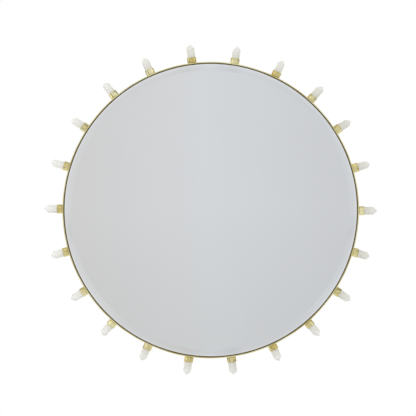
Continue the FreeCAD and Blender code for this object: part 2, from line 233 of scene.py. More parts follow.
class Workpiece:
    """A piece on the bench: a mesh and the operators that shape it."""

    def __init__(self) -> None:
        """Starts with nothing on the bench."""
        self.mesh = bmesh.new()

    @classmethod
    def from_node(cls, node: str, flatness: float) -> "Workpiece":
        """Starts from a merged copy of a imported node, its flat faces whole again.

        Args:
            node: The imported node's name.
            flatness: Angle in radians under which neighbouring faces count as one.

        Returns:
            The workpiece.
        """
        work = cls()
        work.mesh.from_mesh(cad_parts[node].data)
        bmesh.ops.remove_doubles(work.mesh, verts=work.mesh.verts[:], dist=WELD_DISTANCE)
        bmesh.ops.dissolve_limit(
            work.mesh, angle_limit=flatness, verts=work.mesh.verts[:], edges=work.mesh.edges[:]
        )
        return work

    @classmethod
    def lathe(
        cls, plane: Plane, corners: Sequence[Corner], steps: int, closed: bool = True, segments: int = 5
    ) -> "Workpiece":
        """Turns an outline once round its plane's axis.

        Args:
            plane: The plane to draw in.
            corners: The outline, as for draw.
            steps: How many steps the turn takes.
            closed: Whether the last corner joins the first, or both lie on the axis.
            segments: How many straight runs make each rounding.

        Returns:
            The workpiece.
        """
        work = cls()
        work.draw(plane, corners, closed, segments)
        work.turn(plane.axis, steps)
        return work

    @classmethod
    def drill(cls, radius: float, length: float, places: Iterable[Matrix]) -> "Workpiece":
        """Makes one round cutter at each place.

        Args:
            radius: Radius of the holes.
            length: Length of each cutter, half of it on each side of its place.
            places: Where the cutters go, with +Z along them.

        Returns:
            The cutters, on one bench.
        """
        work = cls()
        bmesh.ops.create_cone(
            work.mesh, cap_ends=True, segments=DRILL_SIDES, radius1=radius, radius2=radius, depth=length
        )
        work.repeat(places)
        return work

    def draw(self, plane: Plane, corners: Sequence[Corner], closed: bool = True, segments: int = 5) -> None:
        """Draws an outline, its corners rounded where asked.

        Args:
            plane: The plane to draw in.
            corners: Each corner's size across and along, and its rounding radius at a right angle.
            closed: Whether the last corner joins the first.
            segments: How many straight runs make each rounding.
        """
        points = [self.mesh.verts.new(plane.point(across, along)) for across, along, _ in corners]
        after = points[1:] + points[:1] if closed else points[1:]
        for first, second in zip(points, after):
            self.mesh.edges.new((first, second))
        for point, (_, _, rounding) in zip(points, corners):
            if rounding > 0:
                self.bevel([point], Rounded.CORNERS, rounding, segments)

    def face(self) -> None:
        """Fills the outline with one flat face."""
        bmesh.ops.contextual_create(self.mesh, geom=self.mesh.edges[:])

    def turn(self, axis: Vector, steps: int, sweep: float = FULL_TURN) -> None:
        """Turns what is drawn about an axis through the origin.

        Args:
            axis: The axis to turn about.
            steps: How many steps the sweep takes.
            sweep: The angle to sweep, in radians.
        """
        bmesh.ops.spin(
            self.mesh,
            geom=self.mesh.verts[:] + self.mesh.edges[:] + self.mesh.faces[:],
            cent=Vector(),
            axis=axis,
            dvec=Vector(),
            angle=sweep,
            steps=steps,
            use_merge=sweep == FULL_TURN,
            use_duplicate=False,
        )
        self.close()

    def extrude(self, along: Vector) -> None:
        """Extrudes the one flat face on the bench into a solid.

        Args:
            along: The way and the distance.
        """
        grown = bmesh.ops.extrude_face_region(self.mesh, geom=self.mesh.faces[:])
        moved = [item for item in grown["geom"] if isinstance(item, Point)]
        bmesh.ops.translate(self.mesh, vec=along, verts=moved)
        self.close()

    def close(self) -> None:
        """Merges doubled points and turns every face outwards."""
        bmesh.ops.remove_doubles(self.mesh, verts=self.mesh.verts[:], dist=WELD_DISTANCE)
        bmesh.ops.recalc_face_normals(self.mesh, faces=self.mesh.faces[:])

    def bevel(
        self,
        places: Sequence[Point | Edge],
        rounded: Rounded,
        width: float,
        segments: int,
        clamped: bool = False,
    ) -> None:
        """Takes off corners or edges.

        Args:
            places: The outline's corners, or the edges.
            rounded: Which of the two they are.
            width: How far the bevel reaches on each side.
            segments: How many runs or faces make each bevel.
            clamped: Whether bevels that would overlap are made smaller.
        """
        bmesh.ops.bevel(
            self.mesh,
            geom=places,
            offset=width,
            offset_type="OFFSET",
            segments=segments,
            profile=0.5,
            affect=rounded.value,
            material=-1,
            clamp_overlap=clamped,
        )

    def soften(self, width: float, segments: int = 2, sharper_than: float = math.radians(30)) -> None:
        """Bevels the edges that are sharper than an angle.

        Args:
            width: Width of the bevel on each side of the edge.
            segments: How many faces make each bevel.
            sharper_than: The angle between the faces, in radians.
        """
        sharp = [edge for edge in self.mesh.edges if edge.calc_face_angle(0.0) > sharper_than]
        self.bevel(sharp, Rounded.EDGES, width, segments, clamped=True)

    def round_edges(self, radius: float, test: Callable[[Edge], bool], segments: int = 6) -> None:
        """Rounds the edges that pass a test.

        Args:
            radius: Radius of the rounding at a right angle.
            test: Says of an edge whether it is rounded.
            segments: How many faces make each rounding.
        """
        passed = [edge for edge in self.mesh.edges if test(edge)]
        self.bevel(passed, Rounded.EDGES, radius, segments)

    def paint(self, number: int, test: Callable[[Vector, Vector], bool]) -> None:
        """Gives a material number to the faces that pass a test.

        Args:
            number: The material's place in the piece's list.
            test: Says it of a face's middle and its normal.
        """
        for face in self.mesh.faces:
            if test(face.calc_center_median(), face.normal):
                face.material_index = number

    def place(self, matrix: Matrix) -> None:
        """Moves everything on the bench."""
        bmesh.ops.transform(self.mesh, matrix=matrix, verts=self.mesh.verts[:])

    def repeat(self, places: Iterable[Matrix]) -> None:
        """Puts a copy at each place, instead of the one on the bench.

        Args:
            places: The copies' places.
        """
        pattern = bpy.data.meshes.new("pattern")
        self.mesh.to_mesh(pattern)
        self.mesh.clear()
        for matrix in places:
            before = len(self.mesh.verts)
            self.mesh.from_mesh(pattern)
            bmesh.ops.transform(self.mesh, matrix=matrix, verts=self.mesh.verts[:][before:])
        bpy.data.meshes.remove(pattern)

    def take(self, other: "Workpiece") -> None:
        """Takes over what is on another bench.

        Args:
            other: The other workpiece, which is used up.
        """
        part = bpy.data.meshes.new("part")
        other.mesh.to_mesh(part)
        other.mesh.free()
        self.mesh.from_mesh(part)
        bpy.data.meshes.remove(part)

    def cut(self, cutter: "Workpiece") -> None:
        """Cuts away what lies inside another workpiece.

        Args:
            cutter: The other workpiece, which is used up.
        """
        target, tool = self.lay_out("target"), cutter.lay_out("tool")
        modifier = target.modifiers.new("cut", "BOOLEAN")
        modifier.operation = "DIFFERENCE"
        modifier.solver = "EXACT"
        modifier.object = tool
        bpy.context.view_layer.update()
        result = target.evaluated_get(bpy.context.evaluated_depsgraph_get())
        self.mesh.clear()
        self.mesh.from_mesh(result.to_mesh())
        result.to_mesh_clear()
        cutter.mesh.free()
        for piece in (target, tool):
            data = piece.data
            bpy.data.objects.remove(piece)
            bpy.data.meshes.remove(data)
        self.close()

    def lay_out(self, name: str) -> Object:
        """Makes an object in the scene from what is on the bench.

        Args:
            name: The object's name.

        Returns:
            The object.
        """
        data = bpy.data.meshes.new(name)
        self.mesh.to_mesh(data)
        piece = bpy.data.objects.new(name, data)
        bpy.context.scene.collection.objects.link(piece)
        return piece

    def finish(self, name: str, materials: Sequence[Material], smooth_degrees: float = 35.0) -> Object:
        """Takes the piece off the bench, smooth except over its sharp edges.

        Args:
            name: The piece's name.
            materials: Its materials, in the order of their numbers.
            smooth_degrees: The largest angle between two faces that shade as one surface.

        Returns:
            The finished object.
        """
        open_edges = sum(not edge.is_manifold for edge in self.mesh.edges)
        if open_edges:
            log.warning("%s has %d open edges", name, open_edges)
        piece = self.lay_out(name)
        self.mesh.free()
        for layer in ("custom_normal", "sharp_face"):
            if layer in piece.data.attributes:
                piece.data.attributes.remove(piece.data.attributes[layer])
        piece.data.shade_smooth()
        piece.data.set_sharp_from_angle(angle=math.radians(smooth_degrees))
        for material in materials:
            piece.data.materials.append(material)
        return piece


def runs_through(edge: Edge) -> bool:
    """Whether an edge runs through a plate that lies against the board."""
    first, second = edge.verts
    return abs((first.co - second.co).normalized().y) > RUNS_ALONG


def fit(piece: Object, body: Body, slot: Slot, *nodes: str) -> None:
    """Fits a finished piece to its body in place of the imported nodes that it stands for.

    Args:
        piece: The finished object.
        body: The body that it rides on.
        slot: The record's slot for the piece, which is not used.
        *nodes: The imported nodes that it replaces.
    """
    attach(piece, body.value)
    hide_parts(*nodes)
    log.info("%s: %d faces, in place of %s", piece.name, len(piece.data.polygons), ", ".join(nodes))


def dress(node: str, material: Material) -> None:
    """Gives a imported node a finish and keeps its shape.

    Args:
        node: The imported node's name.
        material: The finish.
    """
    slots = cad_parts[node].data.materials
    slots.clear()
    slots.append(material)
    log.info("%s: kept, in %s", node, material.name)


# Finishes


@dataclass(frozen=True)
class Pattern:
    """A cloudy pattern.

    Attributes:
        scale: How many clouds there are to a metre, or in the sky to a unit of direction.
        detail: How many finer layers are added.
        swirl: How much the clouds are swirled.
        density: How dense they are along each axis, where less than 1 makes them long.
        shift: How far the pattern is moved along each axis.
    """

    scale: float
    detail: float = 3.0
    swirl: float = 0.0
    density: Corner = (1.0, 1.0, 1.0)
    shift: Corner = (0.0, 0.0, 0.0)


@dataclass(frozen=True)
class Span:
    """What a number becomes: low at its start and high at its end, with nothing beyond the two."""

    low: float
    high: float
    start: float = 0.0
    end: float = 1.0


class Graph:
    """A node tree, with short ways to add and join its nodes."""

    def __init__(self, tree: bpy.types.NodeTree) -> None:
        """Starts with the tree empty."""
        self.tree = tree
        tree.nodes.clear()

    def feed(self, socket: Socket, value: Value) -> None:
        """Links a socket to another, or sets its value.

        Args:
            socket: The socket to feed.
            value: The other socket, a number or a colour.
        """
        if isinstance(value, Socket):
            self.tree.links.new(value, socket)
        elif isinstance(value, tuple) and socket.type == "RGBA":
            socket.default_value = (*value, 1.0)
        else:
            socket.default_value = value

    def set(self, node: bpy.types.Node, **values: Value) -> None:
        """Feeds a node's inputs.

        Args:
            node: The node.
            **values: Its inputs, named in lower case with low lines for spaces.
        """
        names = {name.lower().replace(" ", "_"): name for name in node.inputs.keys()}
        for key, value in values.items():
            self.feed(node.inputs[names[key]], value)

    def add(self, kind: str, **values: Value) -> bpy.types.Node:
        """Adds a node.

        Args:
            kind: Its type, without the words that every type starts with.
            **values: Its inputs, as for set.

        Returns:
            The node.
        """
        node = self.tree.nodes.new("ShaderNode" + kind)
        self.set(node, **values)
        return node

    def noise(self, place: Socket, pattern: Pattern) -> Socket:
        """Cloudy pattern from 0 to 1 at given coordinates.

        Args:
            place: The coordinates to read.
            pattern: The pattern.

        Returns:
            The pattern's socket.
        """
        node = self.add(
            "TexNoise",
            vector=place,
            scale=pattern.scale,
            detail=pattern.detail,
            distortion=pattern.swirl,
        )
        return node.outputs[0]

    def combine(self, operation: Maths, first: Socket | float, second: Socket | float = 0.0) -> Socket:
        """Joins two numbers.

        Args:
            operation: How they are joined.
            first: The first number.
            second: The second number, which a root leaves unused.

        Returns:
            The result's socket.
        """
        node = self.add("Math")
        node.operation = operation.value
        self.feed(node.inputs[0], first)
        self.feed(node.inputs[1], second)
        return node.outputs["Value"]

    def spread(self, value: Socket, span: Span) -> Socket:
        """Maps a number to a range.

        Args:
            value: The number.
            span: What it becomes.

        Returns:
            The mapped number's socket.
        """
        node = self.add(
            "MapRange",
            value=value,
            from_min=span.start,
            from_max=span.end,
            to_min=span.low,
            to_max=span.high,
        )
        return node.outputs["Result"]

    def tint(
        self,
        share: Socket | float,
        first: Socket | Colour,
        second: Socket | Colour,
        blend: Blend = Blend.MIX,
    ) -> Socket:
        """Mixes two colours.

        Args:
            share: How much of the second colour there is.
            first: The colour at 0.
            second: The colour at 1.
            blend: How the second colour goes over the first.

        Returns:
            The mixed colour's socket.
        """
        node = self.add("Mix")
        node.data_type = "RGBA"
        node.blend_type = blend.value
        sockets = {item.identifier: item for item in node.inputs}
        for identifier, value in (("Factor_Float", share), ("A_Color", first), ("B_Color", second)):
            self.feed(sockets[identifier], value)
        return next(item for item in node.outputs if item.identifier == "Result_Color")


class Surface(Graph):
    """A material's nodes round one shader, with the patterns that finishes are made of."""

    def __init__(self, name: str) -> None:
        """Starts a material that has the shader alone.

        Args:
            name: The material's name.
        """
        self.material = bpy.data.materials.new(name)
        self.material.use_nodes = True
        super().__init__(self.material.node_tree)
        self.shader = self.add("BsdfPrincipled")
        self.output = self.add("OutputMaterial", surface=self.shader.outputs["BSDF"])

    def shade(self, **values: Value) -> None:
        """Feeds the shader's inputs, named as for set."""
        self.set(self.shader, **values)

    def clouds(self, pattern: Pattern) -> Socket:
        """Cloudy pattern from 0 to 1, fixed to the piece.

        Args:
            pattern: The pattern.

        Returns:
            The pattern's socket.
        """
        place = self.add("TexCoord").outputs["Object"]
        mapping = self.add("Mapping", vector=place, scale=pattern.density, location=pattern.shift)
        return self.noise(mapping.outputs["Vector"], pattern)

    def lines(self, along: Socket, scale: float, detail: float = 2.0) -> Socket:
        """Uneven lines square to a distance, as a lathe or a roller leaves them.

        Args:
            along: The distance in metres.
            scale: How many lines there are to a metre.
            detail: How many finer layers are added.

        Returns:
            The pattern's socket, from 0 to 1.
        """
        node = self.add("TexNoise")
        node.noise_dimensions = "1D"
        self.set(node, w=along, scale=scale, detail=detail)
        return node.outputs[0]

    def cells(self, scale: float) -> Socket:
        """Distance from the middle of the nearest of many small cells, so many to a metre."""
        place = self.add("TexCoord").outputs["Object"]
        return self.add("TexVoronoi", vector=place, scale=scale).outputs["Distance"]

    def relief(self, height: Socket, depth: float, over: Socket | None = None) -> Socket:
        """Raises a pattern on the surface.

        Args:
            height: The pattern, from 0 to 1.
            depth: How far it stands out, in metres.
            over: A coarser relief that it lies on.

        Returns:
            The normal's socket.
        """
        node = self.add("Bump", height=height, distance=depth)
        if over is not None:
            self.set(node, normal=over)
        return node.outputs["Normal"]

    def along(self, axis: str) -> Socket:
        """Place along X, Y or Z."""
        place = self.add("TexCoord").outputs["Object"]
        return self.add("SeparateXYZ", vector=place).outputs[axis]

    def ring_radius(self) -> Socket:
        """Distance from the mirror's axis, which grows along each cup and point."""
        squares = [self.combine(Maths.MULTIPLY, self.along(axis), self.along(axis)) for axis in "XZ"]
        return self.combine(Maths.ROOT, self.combine(Maths.ADD, *squares))


@dataclass(frozen=True)
class Finish:
    """One finish, which gives one material."""

    name: str

    def lay(self, surface: Surface) -> None:
        """Lays the finish on a surface.

        Args:
            surface: The surface's nodes.
        """
        raise NotImplementedError

    def build(self) -> Material:
        """Makes the material.

        Returns:
            The material.
        """
        surface = Surface(self.name)
        self.lay(surface)
        return surface.material


@dataclass(frozen=True)
class Brass(Finish):
    """Lacquered brass with fine tool lines, a little darker with tarnish at the foot, and with painted shade
    at the rim and towards the right.
    """

    grain: Grain
    bright: Colour = (0.965, 0.92, 0.565)
    warm_and_shaded: Colour = (0.67, 0.55, 0.19)
    tarnish_and_shade: Colour = (0.46, 0.36, 0.13)
    grazed: Colour = (1.0, 0.94, 0.62)
    tones: Pattern = Pattern(26.0, shift=(-1.08, 1.39, -0.78))
    wear: Pattern = Pattern(900.0, 5.0)
    lines_per_metre: float = 7000.0
    line_depth: float = 0.004 * MM
    warmth: Span = Span(0.0, 1.0, 0.38, 0.66)
    # Painted shade: warmer and darker towards the right, lighter towards the left
    painted_shade_rightwards: Span = Span(-0.12, 0.12, -270.5 * MM, 270.5 * MM)
    ageing_at_foot: Span = Span(0.0, 0.45, 270.5 * MM, 266.8 * MM)
    # Painted shade: a darker ring towards the rim, next to the point
    painted_rim_shade: Span = Span(0.0, 0.40, 272.8 * MM, 276.5 * MM)
    roughness: Span = Span(0.10, 0.21, 0.1, 0.45)

    def lay(self, surface: Surface) -> None:
        """Lays the brass on a surface.

        Args:
            surface: The surface's nodes.
        """
        # Random tones, plus painted shade towards the right
        warmth = surface.combine(
            Maths.ADD,
            surface.spread(surface.clouds(self.tones), self.warmth),
            surface.spread(surface.along("X"), self.painted_shade_rightwards),
        )
        colour = surface.tint(warmth, self.bright, self.warm_and_shaded)
        wear = surface.clouds(self.wear)
        if self.grain is Grain.TURNED:
            along = surface.ring_radius()
            # Tarnish at the foot, plus painted shade towards the rim
            tarnish_and_rim_shade = surface.combine(
                Maths.ADD,
                surface.spread(along, self.ageing_at_foot),
                surface.spread(along, self.painted_rim_shade),
            )
            colour = surface.tint(surface.combine(Maths.MULTIPLY, tarnish_and_rim_shade, wear), colour, self.tarnish_and_shade)
        else:
            along = surface.along("Y")
        lines = surface.lines(along, self.lines_per_metre)
        surface.shade(
            base_color=colour,
            metallic=1.0,
            specular_tint=self.grazed,
            roughness=surface.spread(surface.combine(Maths.MULTIPLY, lines, wear), self.roughness),
            normal=surface.relief(lines, self.line_depth),
        )


@dataclass(frozen=True)
class MilkyQuartz(Finish):
    """Natural quartz: cloudy veils inside, growth lines across its sides, paler and clearer at the tip.
    Painted light pales its side faces, the left points and the low ones, and painted shade darkens the right
    and the high ones.
    """

    name: str = "milky quartz"
    clear: Colour = (0.73, 0.727, 0.66)
    milk: Colour = (0.95, 0.945, 0.90)
    frost: Colour = (0.93, 0.93, 0.91)
    veils: Pattern = Pattern(90.0, 2.5, 1.2)
    threads: Pattern = Pattern(300.0, 3.0, 1.6)
    point_tones: Pattern = Pattern(9.0, 0.0)
    growth_per_metre: float = 420.0
    growth_depth: float = 0.006 * MM
    veil_depth: float = 0.02 * MM
    scatter_depth: float = 2.0 * MM
    milk_in_veils: Span = Span(0.40, 0.60, 0.25, 0.75)
    milk_by_point: Span = Span(-0.12, 0.12, 0.35, 0.65)
    milk_outwards: Span = Span(-0.46, 0.34, RIM_RADIUS, SHOULDER_RADIUS)
    # Painted light: paler towards the rear, which lightens the side faces against the front ones
    painted_light_rearwards: Span = Span(0.0, 0.40, -21.0 * MM, -15.0 * MM)
    # Painted light on the left and painted shade on the right
    painted_light_leftwards: Span = Span(0.24, -0.24, -RIM_RADIUS, RIM_RADIUS)
    # Painted light lower down and painted shade higher up
    painted_light_downwards: Span = Span(0.12, -0.12, -RIM_RADIUS, RIM_RADIUS)
    frost_in_threads: Span = Span(0.0, 0.2, 0.52, 0.75)
    clearness: Span = Span(0.0, 0.10, RIM_RADIUS, SHOULDER_RADIUS)
    roughness: Span = Span(0.16, 0.34, 0.1, 0.5)

    def lay(self, surface: Surface) -> None:
        """Lays the quartz on a surface.

        Args:
            surface: The surface's nodes.
        """
        along = surface.ring_radius()
        veils = surface.clouds(self.veils)
        threads = surface.clouds(self.threads)
        growth = surface.lines(along, self.growth_per_metre)
        milk_and_painted_light = surface.spread(veils, self.milk_in_veils)
        # Veils, each point's own tone and the paleness towards the tip, then the painted light and shade
        for value, span in (
            (surface.clouds(self.point_tones), self.milk_by_point),
            (along, self.milk_outwards),
            (surface.along("Y"), self.painted_light_rearwards),
            (surface.along("X"), self.painted_light_leftwards),
            (surface.along("Z"), self.painted_light_downwards),
        ):
            milk_and_painted_light = surface.combine(Maths.ADD, milk_and_painted_light, surface.spread(value, span))
        colour = surface.tint(surface.spread(milk_and_painted_light, Span(0.0, 1.0)), self.clear, self.milk)
        surface.shade(
            base_color=surface.tint(surface.spread(threads, self.frost_in_threads), colour, self.frost),
            roughness=surface.spread(surface.combine(Maths.MULTIPLY, growth, threads), self.roughness),
            ior=1.544,
            sheen_weight=0.15,
            sheen_roughness=0.5,
            subsurface_weight=0.22,
            subsurface_radius=(1.0, 0.97, 0.90),
            subsurface_scale=self.scatter_depth,
            transmission_weight=surface.spread(along, self.clearness),
            normal=surface.relief(growth, self.growth_depth, surface.relief(veils, self.veil_depth)),
        )


@dataclass(frozen=True)
class Silvering(Finish):
    """Silver seen through clear glass, with a trace of dust and cloth marks."""

    name: str = "silvered glass"
    silver: Colour = (0.862, 0.882, 0.884)
    hazed: Colour = (0.850, 0.868, 0.872)
    haze: Pattern = Pattern(7.0, 4.0, 0.6, density=(1.0, 1.0, 0.6))
    dust: Pattern = Pattern(1500.0, 2.0)
    hazed_share: Span = Span(0.0, 1.0, 0.35, 0.65)
    roughness: Span = Span(0.004, 0.028, 0.15, 0.5)

    def lay(self, surface: Surface) -> None:
        """Lays the silver on a surface.

        Args:
            surface: The surface's nodes.
        """
        haze = surface.clouds(self.haze)
        dust = surface.clouds(self.dust)
        surface.shade(
            base_color=surface.tint(surface.spread(haze, self.hazed_share), self.silver, self.hazed),
            metallic=1.0,
            roughness=surface.spread(surface.combine(Maths.MULTIPLY, haze, dust), self.roughness),
        )


@dataclass(frozen=True)
class GlassEdge(Finish):
    """Ground edge of the glass, a pale sea green."""

    name: str = "glass edge"
    deep: Colour = (0.22, 0.40, 0.33)
    pale: Colour = (0.42, 0.60, 0.52)
    grinding: Pattern = Pattern(800.0)
    roughness: Span = Span(0.15, 0.35)

    def lay(self, surface: Surface) -> None:
        """Lays the ground glass on a surface.

        Args:
            surface: The surface's nodes.
        """
        grinding = surface.clouds(self.grinding)
        surface.shade(
            base_color=surface.tint(grinding, self.deep, self.pale),
            roughness=surface.spread(grinding, self.roughness),
            ior=1.52,
            transmission_weight=0.15,
        )


@dataclass(frozen=True)
class Paint(Finish):
    """Sprayed paint with a slight orange peel and rubbed places."""

    colour: Colour
    rubbed: Colour
    rubbing: Pattern = Pattern(35.0, 5.0)
    peel: Pattern = Pattern(700.0, 2.0)
    peel_depth: float = 0.02 * MM
    rubbed_share: Span = Span(0.0, 1.0, 0.4, 0.75)
    roughness: Span = Span(0.42, 0.62, 0.3, 0.7)

    def lay(self, surface: Surface) -> None:
        """Lays the paint on a surface.

        Args:
            surface: The surface's nodes.
        """
        rubbing = surface.clouds(self.rubbing)
        surface.shade(
            base_color=surface.tint(surface.spread(rubbing, self.rubbed_share), self.colour, self.rubbed),
            roughness=surface.spread(rubbing, self.roughness),
            normal=surface.relief(surface.clouds(self.peel), self.peel_depth),
        )


@dataclass(frozen=True)
class Fibreboard(Finish):
    """Raw pressed fibreboard: short fibres of three browns, pressed flat."""

    name: str = "raw fibreboard"
    fibre: Colour = (0.50, 0.36, 0.225)
    dark: Colour = (0.33, 0.215, 0.12)
    pale: Colour = (0.64, 0.50, 0.34)
    upright: Pattern = Pattern(1100.0, 6.0, 0.8, density=(1.0, 1.0, 0.35))
    level: Pattern = Pattern(1300.0, 6.0, 0.8, density=(0.35, 1.0, 1.0))
    stains: Pattern = Pattern(14.0)
    upright_depth: float = 0.08 * MM
    level_depth: float = 0.05 * MM
    dark_in_upright: Span = Span(0.0, 1.0, 0.45, 0.72)
    pale_in_level: Span = Span(0.0, 0.9, 0.52, 0.75)
    dark_in_stains: Span = Span(0.0, 0.25, 0.4, 0.7)
    roughness: Span = Span(0.74, 0.95)

    def lay(self, surface: Surface) -> None:
        """Lays the fibres on a surface.

        Args:
            surface: The surface's nodes.
        """
        upright = surface.clouds(self.upright)
        level = surface.clouds(self.level)
        colour = surface.tint(surface.spread(upright, self.dark_in_upright), self.fibre, self.dark)
        colour = surface.tint(surface.spread(level, self.pale_in_level), colour, self.pale)
        stains = surface.spread(surface.clouds(self.stains), self.dark_in_stains)
        surface.shade(
            base_color=surface.tint(stains, colour, self.dark),
            roughness=surface.spread(upright, self.roughness),
            normal=surface.relief(level, self.level_depth, surface.relief(upright, self.upright_depth)),
        )


@dataclass(frozen=True)
class ZincPlate(Finish):
    """Zinc-plated steel, cool grey with faint straw and blue stains and tumbling scratches."""

    zinc: Colour = (0.60, 0.61, 0.625)
    straw: Colour = (0.64, 0.60, 0.50)
    blue: Colour = (0.50, 0.54, 0.60)
    stains: Pattern = Pattern(160.0, 4.0, 0.8)
    scratches: Pattern = Pattern(3500.0, density=(1.0, 1.0, 0.06))
    scratch_depth: float = 0.006 * MM
    straw_share: Span = Span(0.0, 0.7, 0.5, 0.7)
    blue_share: Span = Span(0.7, 0.0, 0.3, 0.48)
    roughness: Span = Span(0.24, 0.46, 0.12, 0.42)

    def lay(self, surface: Surface) -> None:
        """Lays the zinc on a surface.

        Args:
            surface: The surface's nodes.
        """
        stains = surface.clouds(self.stains)
        scratches = surface.clouds(self.scratches)
        colour = surface.tint(surface.spread(stains, self.straw_share), self.zinc, self.straw)
        surface.shade(
            base_color=surface.tint(surface.spread(stains, self.blue_share), colour, self.blue),
            metallic=1.0,
            roughness=surface.spread(surface.combine(Maths.MULTIPLY, stains, scratches), self.roughness),
            normal=surface.relief(scratches, self.scratch_depth),
        )


@dataclass(frozen=True)
class FoamTape(Finish):
    """White foam tape with fine open cells at its edges."""

    name: str = "foam tape"
    foam: Colour = (0.82, 0.82, 0.79)
    shaded: Colour = (0.66, 0.66, 0.62)
    cells_per_metre: float = 3200.0
    cell_depth: float = 0.05 * MM
    shaded_share: Span = Span(0.0, 1.0, 0.2, 0.8)
    roughness: Span = Span(0.7, 0.92)

    def lay(self, surface: Surface) -> None:
        """Lays the foam on a surface.

        Args:
            surface: The surface's nodes.
        """
        cells = surface.cells(self.cells_per_metre)
        surface.shade(
            base_color=surface.tint(surface.spread(cells, self.shaded_share), self.foam, self.shaded),
            roughness=surface.spread(cells, self.roughness),
            normal=surface.relief(cells, self.cell_depth),
        )


@dataclass(frozen=True)
class CastResin(Finish):
    """Milky resin with a glossy, slightly uneven top."""

    name: str = "cast resin"
    milk: Colour = (0.80, 0.78, 0.70)
    clear: Colour = (0.62, 0.60, 0.50)
    swirls: Pattern = Pattern(350.0, 3.0, 1.2)
    swirl_depth: float = 0.05 * MM
    milk_in_swirls: Span = Span(0.0, 1.0, 0.35, 0.65)
    roughness: Span = Span(0.08, 0.22)

    def lay(self, surface: Surface) -> None:
        """Lays the resin on a surface.

        Args:
            surface: The surface's nodes.
        """
        swirls = surface.clouds(self.swirls)
        surface.shade(
            base_color=surface.tint(surface.spread(swirls, self.milk_in_swirls), self.clear, self.milk),
            roughness=surface.spread(swirls, self.roughness),
            ior=1.55,
            transmission_weight=0.15,
            normal=surface.relief(swirls, self.swirl_depth),
        )


@dataclass(frozen=True)
class Materials:
    """Every finish on the mirror, made once."""

    cup_brass: Material
    band_brass: Material
    band_inside: Material
    quartz: Material
    silvering: Material
    glass_edge: Material
    glass_back: Material
    bronze_paint: Material
    fibreboard: Material
    screw_zinc: Material
    plate_zinc: Material
    foam: Material
    resin: Material

    @classmethod
    def build(cls) -> "Materials":
        """Makes them all.

        Returns:
            The materials.
        """
        # Unpolished brass for the band's inside, its colours darkened as painted shade in the gap round the
        # glass
        shaded_dull_brass = Brass(
            "dull brass",
            Grain.ROLLED,
            bright=(0.58, 0.51, 0.27),
            warm_and_shaded=(0.42, 0.35, 0.16),
            roughness=Span(0.42, 0.62, 0.1, 0.45),
        )
        return cls(
            cup_brass=Brass("turned brass", Grain.TURNED).build(),
            band_brass=Brass("rolled brass", Grain.ROLLED, lines_per_metre=2500.0).build(),
            band_inside=shaded_dull_brass.build(),
            quartz=MilkyQuartz().build(),
            silvering=Silvering().build(),
            glass_edge=GlassEdge().build(),
            glass_back=Paint("mirror backing", (0.20, 0.23, 0.215), (0.26, 0.29, 0.27)).build(),
            bronze_paint=Paint("bronze paint", (0.47, 0.44, 0.36), (0.53, 0.50, 0.42)).build(),
            fibreboard=Fibreboard().build(),
            screw_zinc=ZincPlate("zinc screws", roughness=Span(0.18, 0.38, 0.12, 0.42)).build(),
            plate_zinc=ZincPlate("zinc plate").build(),
            foam=FoamTape().build(),
            resin=CastResin().build(),
        )


# The glass and its frame


@dataclass
class FrameBand:
    """The rolled brass strip that everything hangs in."""

    materials: Materials
    wall: float = 1.8 * MM
    edge_round: float = 0.4 * MM
    rear_round: float = 0.15 * MM
    hole_radius: float = 2.2 * MM
    steps: int = 24 * POINT_COUNT
    node: str = "frame_band"

    @property
    def outer_radius(self) -> float:
        """Radius of the outer face."""
        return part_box(self.node)[1].x

    @property
    def inner_radius(self) -> float:
        """Radius of the inner face."""
        return self.outer_radius - self.wall

    @property
    def depths(self) -> tuple[float, float]:
        """Places of the front and rear edges along Y."""
        low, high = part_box(self.node)
        return low.y, high.y

    def faces_inwards(self, centre: Vector, normal: Vector) -> bool:
        """Whether a face looks at the mirror's axis."""
        return centre.x * normal.x + centre.z * normal.z < -self.wall

    def build(self, holes: Iterable[Matrix]) -> None:
        """Turns the strip and drills it for the cup screws.

        Args:
            holes: A place on the outer face for each hole, +Z outwards.
        """
        front, rear = self.depths
        work = Workpiece.lathe(
            Plane.LATHE_Y,
            [
                (self.inner_radius, rear, self.rear_round),
                (self.outer_radius, rear, self.rear_round),
                (self.outer_radius, front, self.edge_round),
                (self.inner_radius, front, self.edge_round),
            ],
            self.steps,
        )
        work.cut(Workpiece.drill(self.hole_radius, DRILL_REACH * self.wall, holes))
        # The inner faces take the darkened brass, painted shade in the gap
        work.paint(1, self.faces_inwards)
        piece = work.finish("brass_band", [self.materials.band_brass, self.materials.band_inside])
        fit(piece, Body.MIRROR, Slot.BRASS, self.node)


@dataclass
class MirrorGlass:
    """The round bevelled glass, silvered behind."""

    materials: Materials
    bevel_width: float = 12.1 * MM
    bevel_drop: float = 2.0 * MM
    arris_width: float = 1.5 * MM
    arris_drop: float = 0.33 * MM
    smooth_degrees: float = 4.0
    steps: int = 16 * POINT_COUNT
    node: str = "mirror_glass"

    def build(self) -> None:
        """Turns the glass, with a polished bevel that steepens at its edge."""
        low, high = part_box(self.node)
        radius, front, rear = high.x, low.y, high.y
        bevel_start = radius - self.bevel_width
        slope = self.bevel_drop / self.bevel_width
        arris_start = radius - self.arris_width
        arris_front = front + slope * (arris_start - bevel_start)
        edge_front = arris_front + self.arris_drop
        work = Workpiece.lathe(
            Plane.LATHE_Y,
            [
                (0.0, front, 0.0),
                (bevel_start, front, 0.0),
                (arris_start, arris_front, 0.0),
                (radius, edge_front, 0.0),
                (radius, rear, 0.0),
                (0.0, rear, 0.0),
            ],
            self.steps,
            closed=False,
        )
        middle = (edge_front + rear) / 2
        work.paint(1, lambda centre, normal: abs(normal.y) < LOOKS_ALONG)
        work.paint(2, lambda centre, normal: normal.y > LOOKS_ALONG and centre.y > middle)
        finishes = [self.materials.silvering, self.materials.glass_edge, self.materials.glass_back]
        piece = work.finish("bevelled_glass", finishes, self.smooth_degrees)
        fit(piece, Body.MIRROR, Slot.MIRROR, self.node)


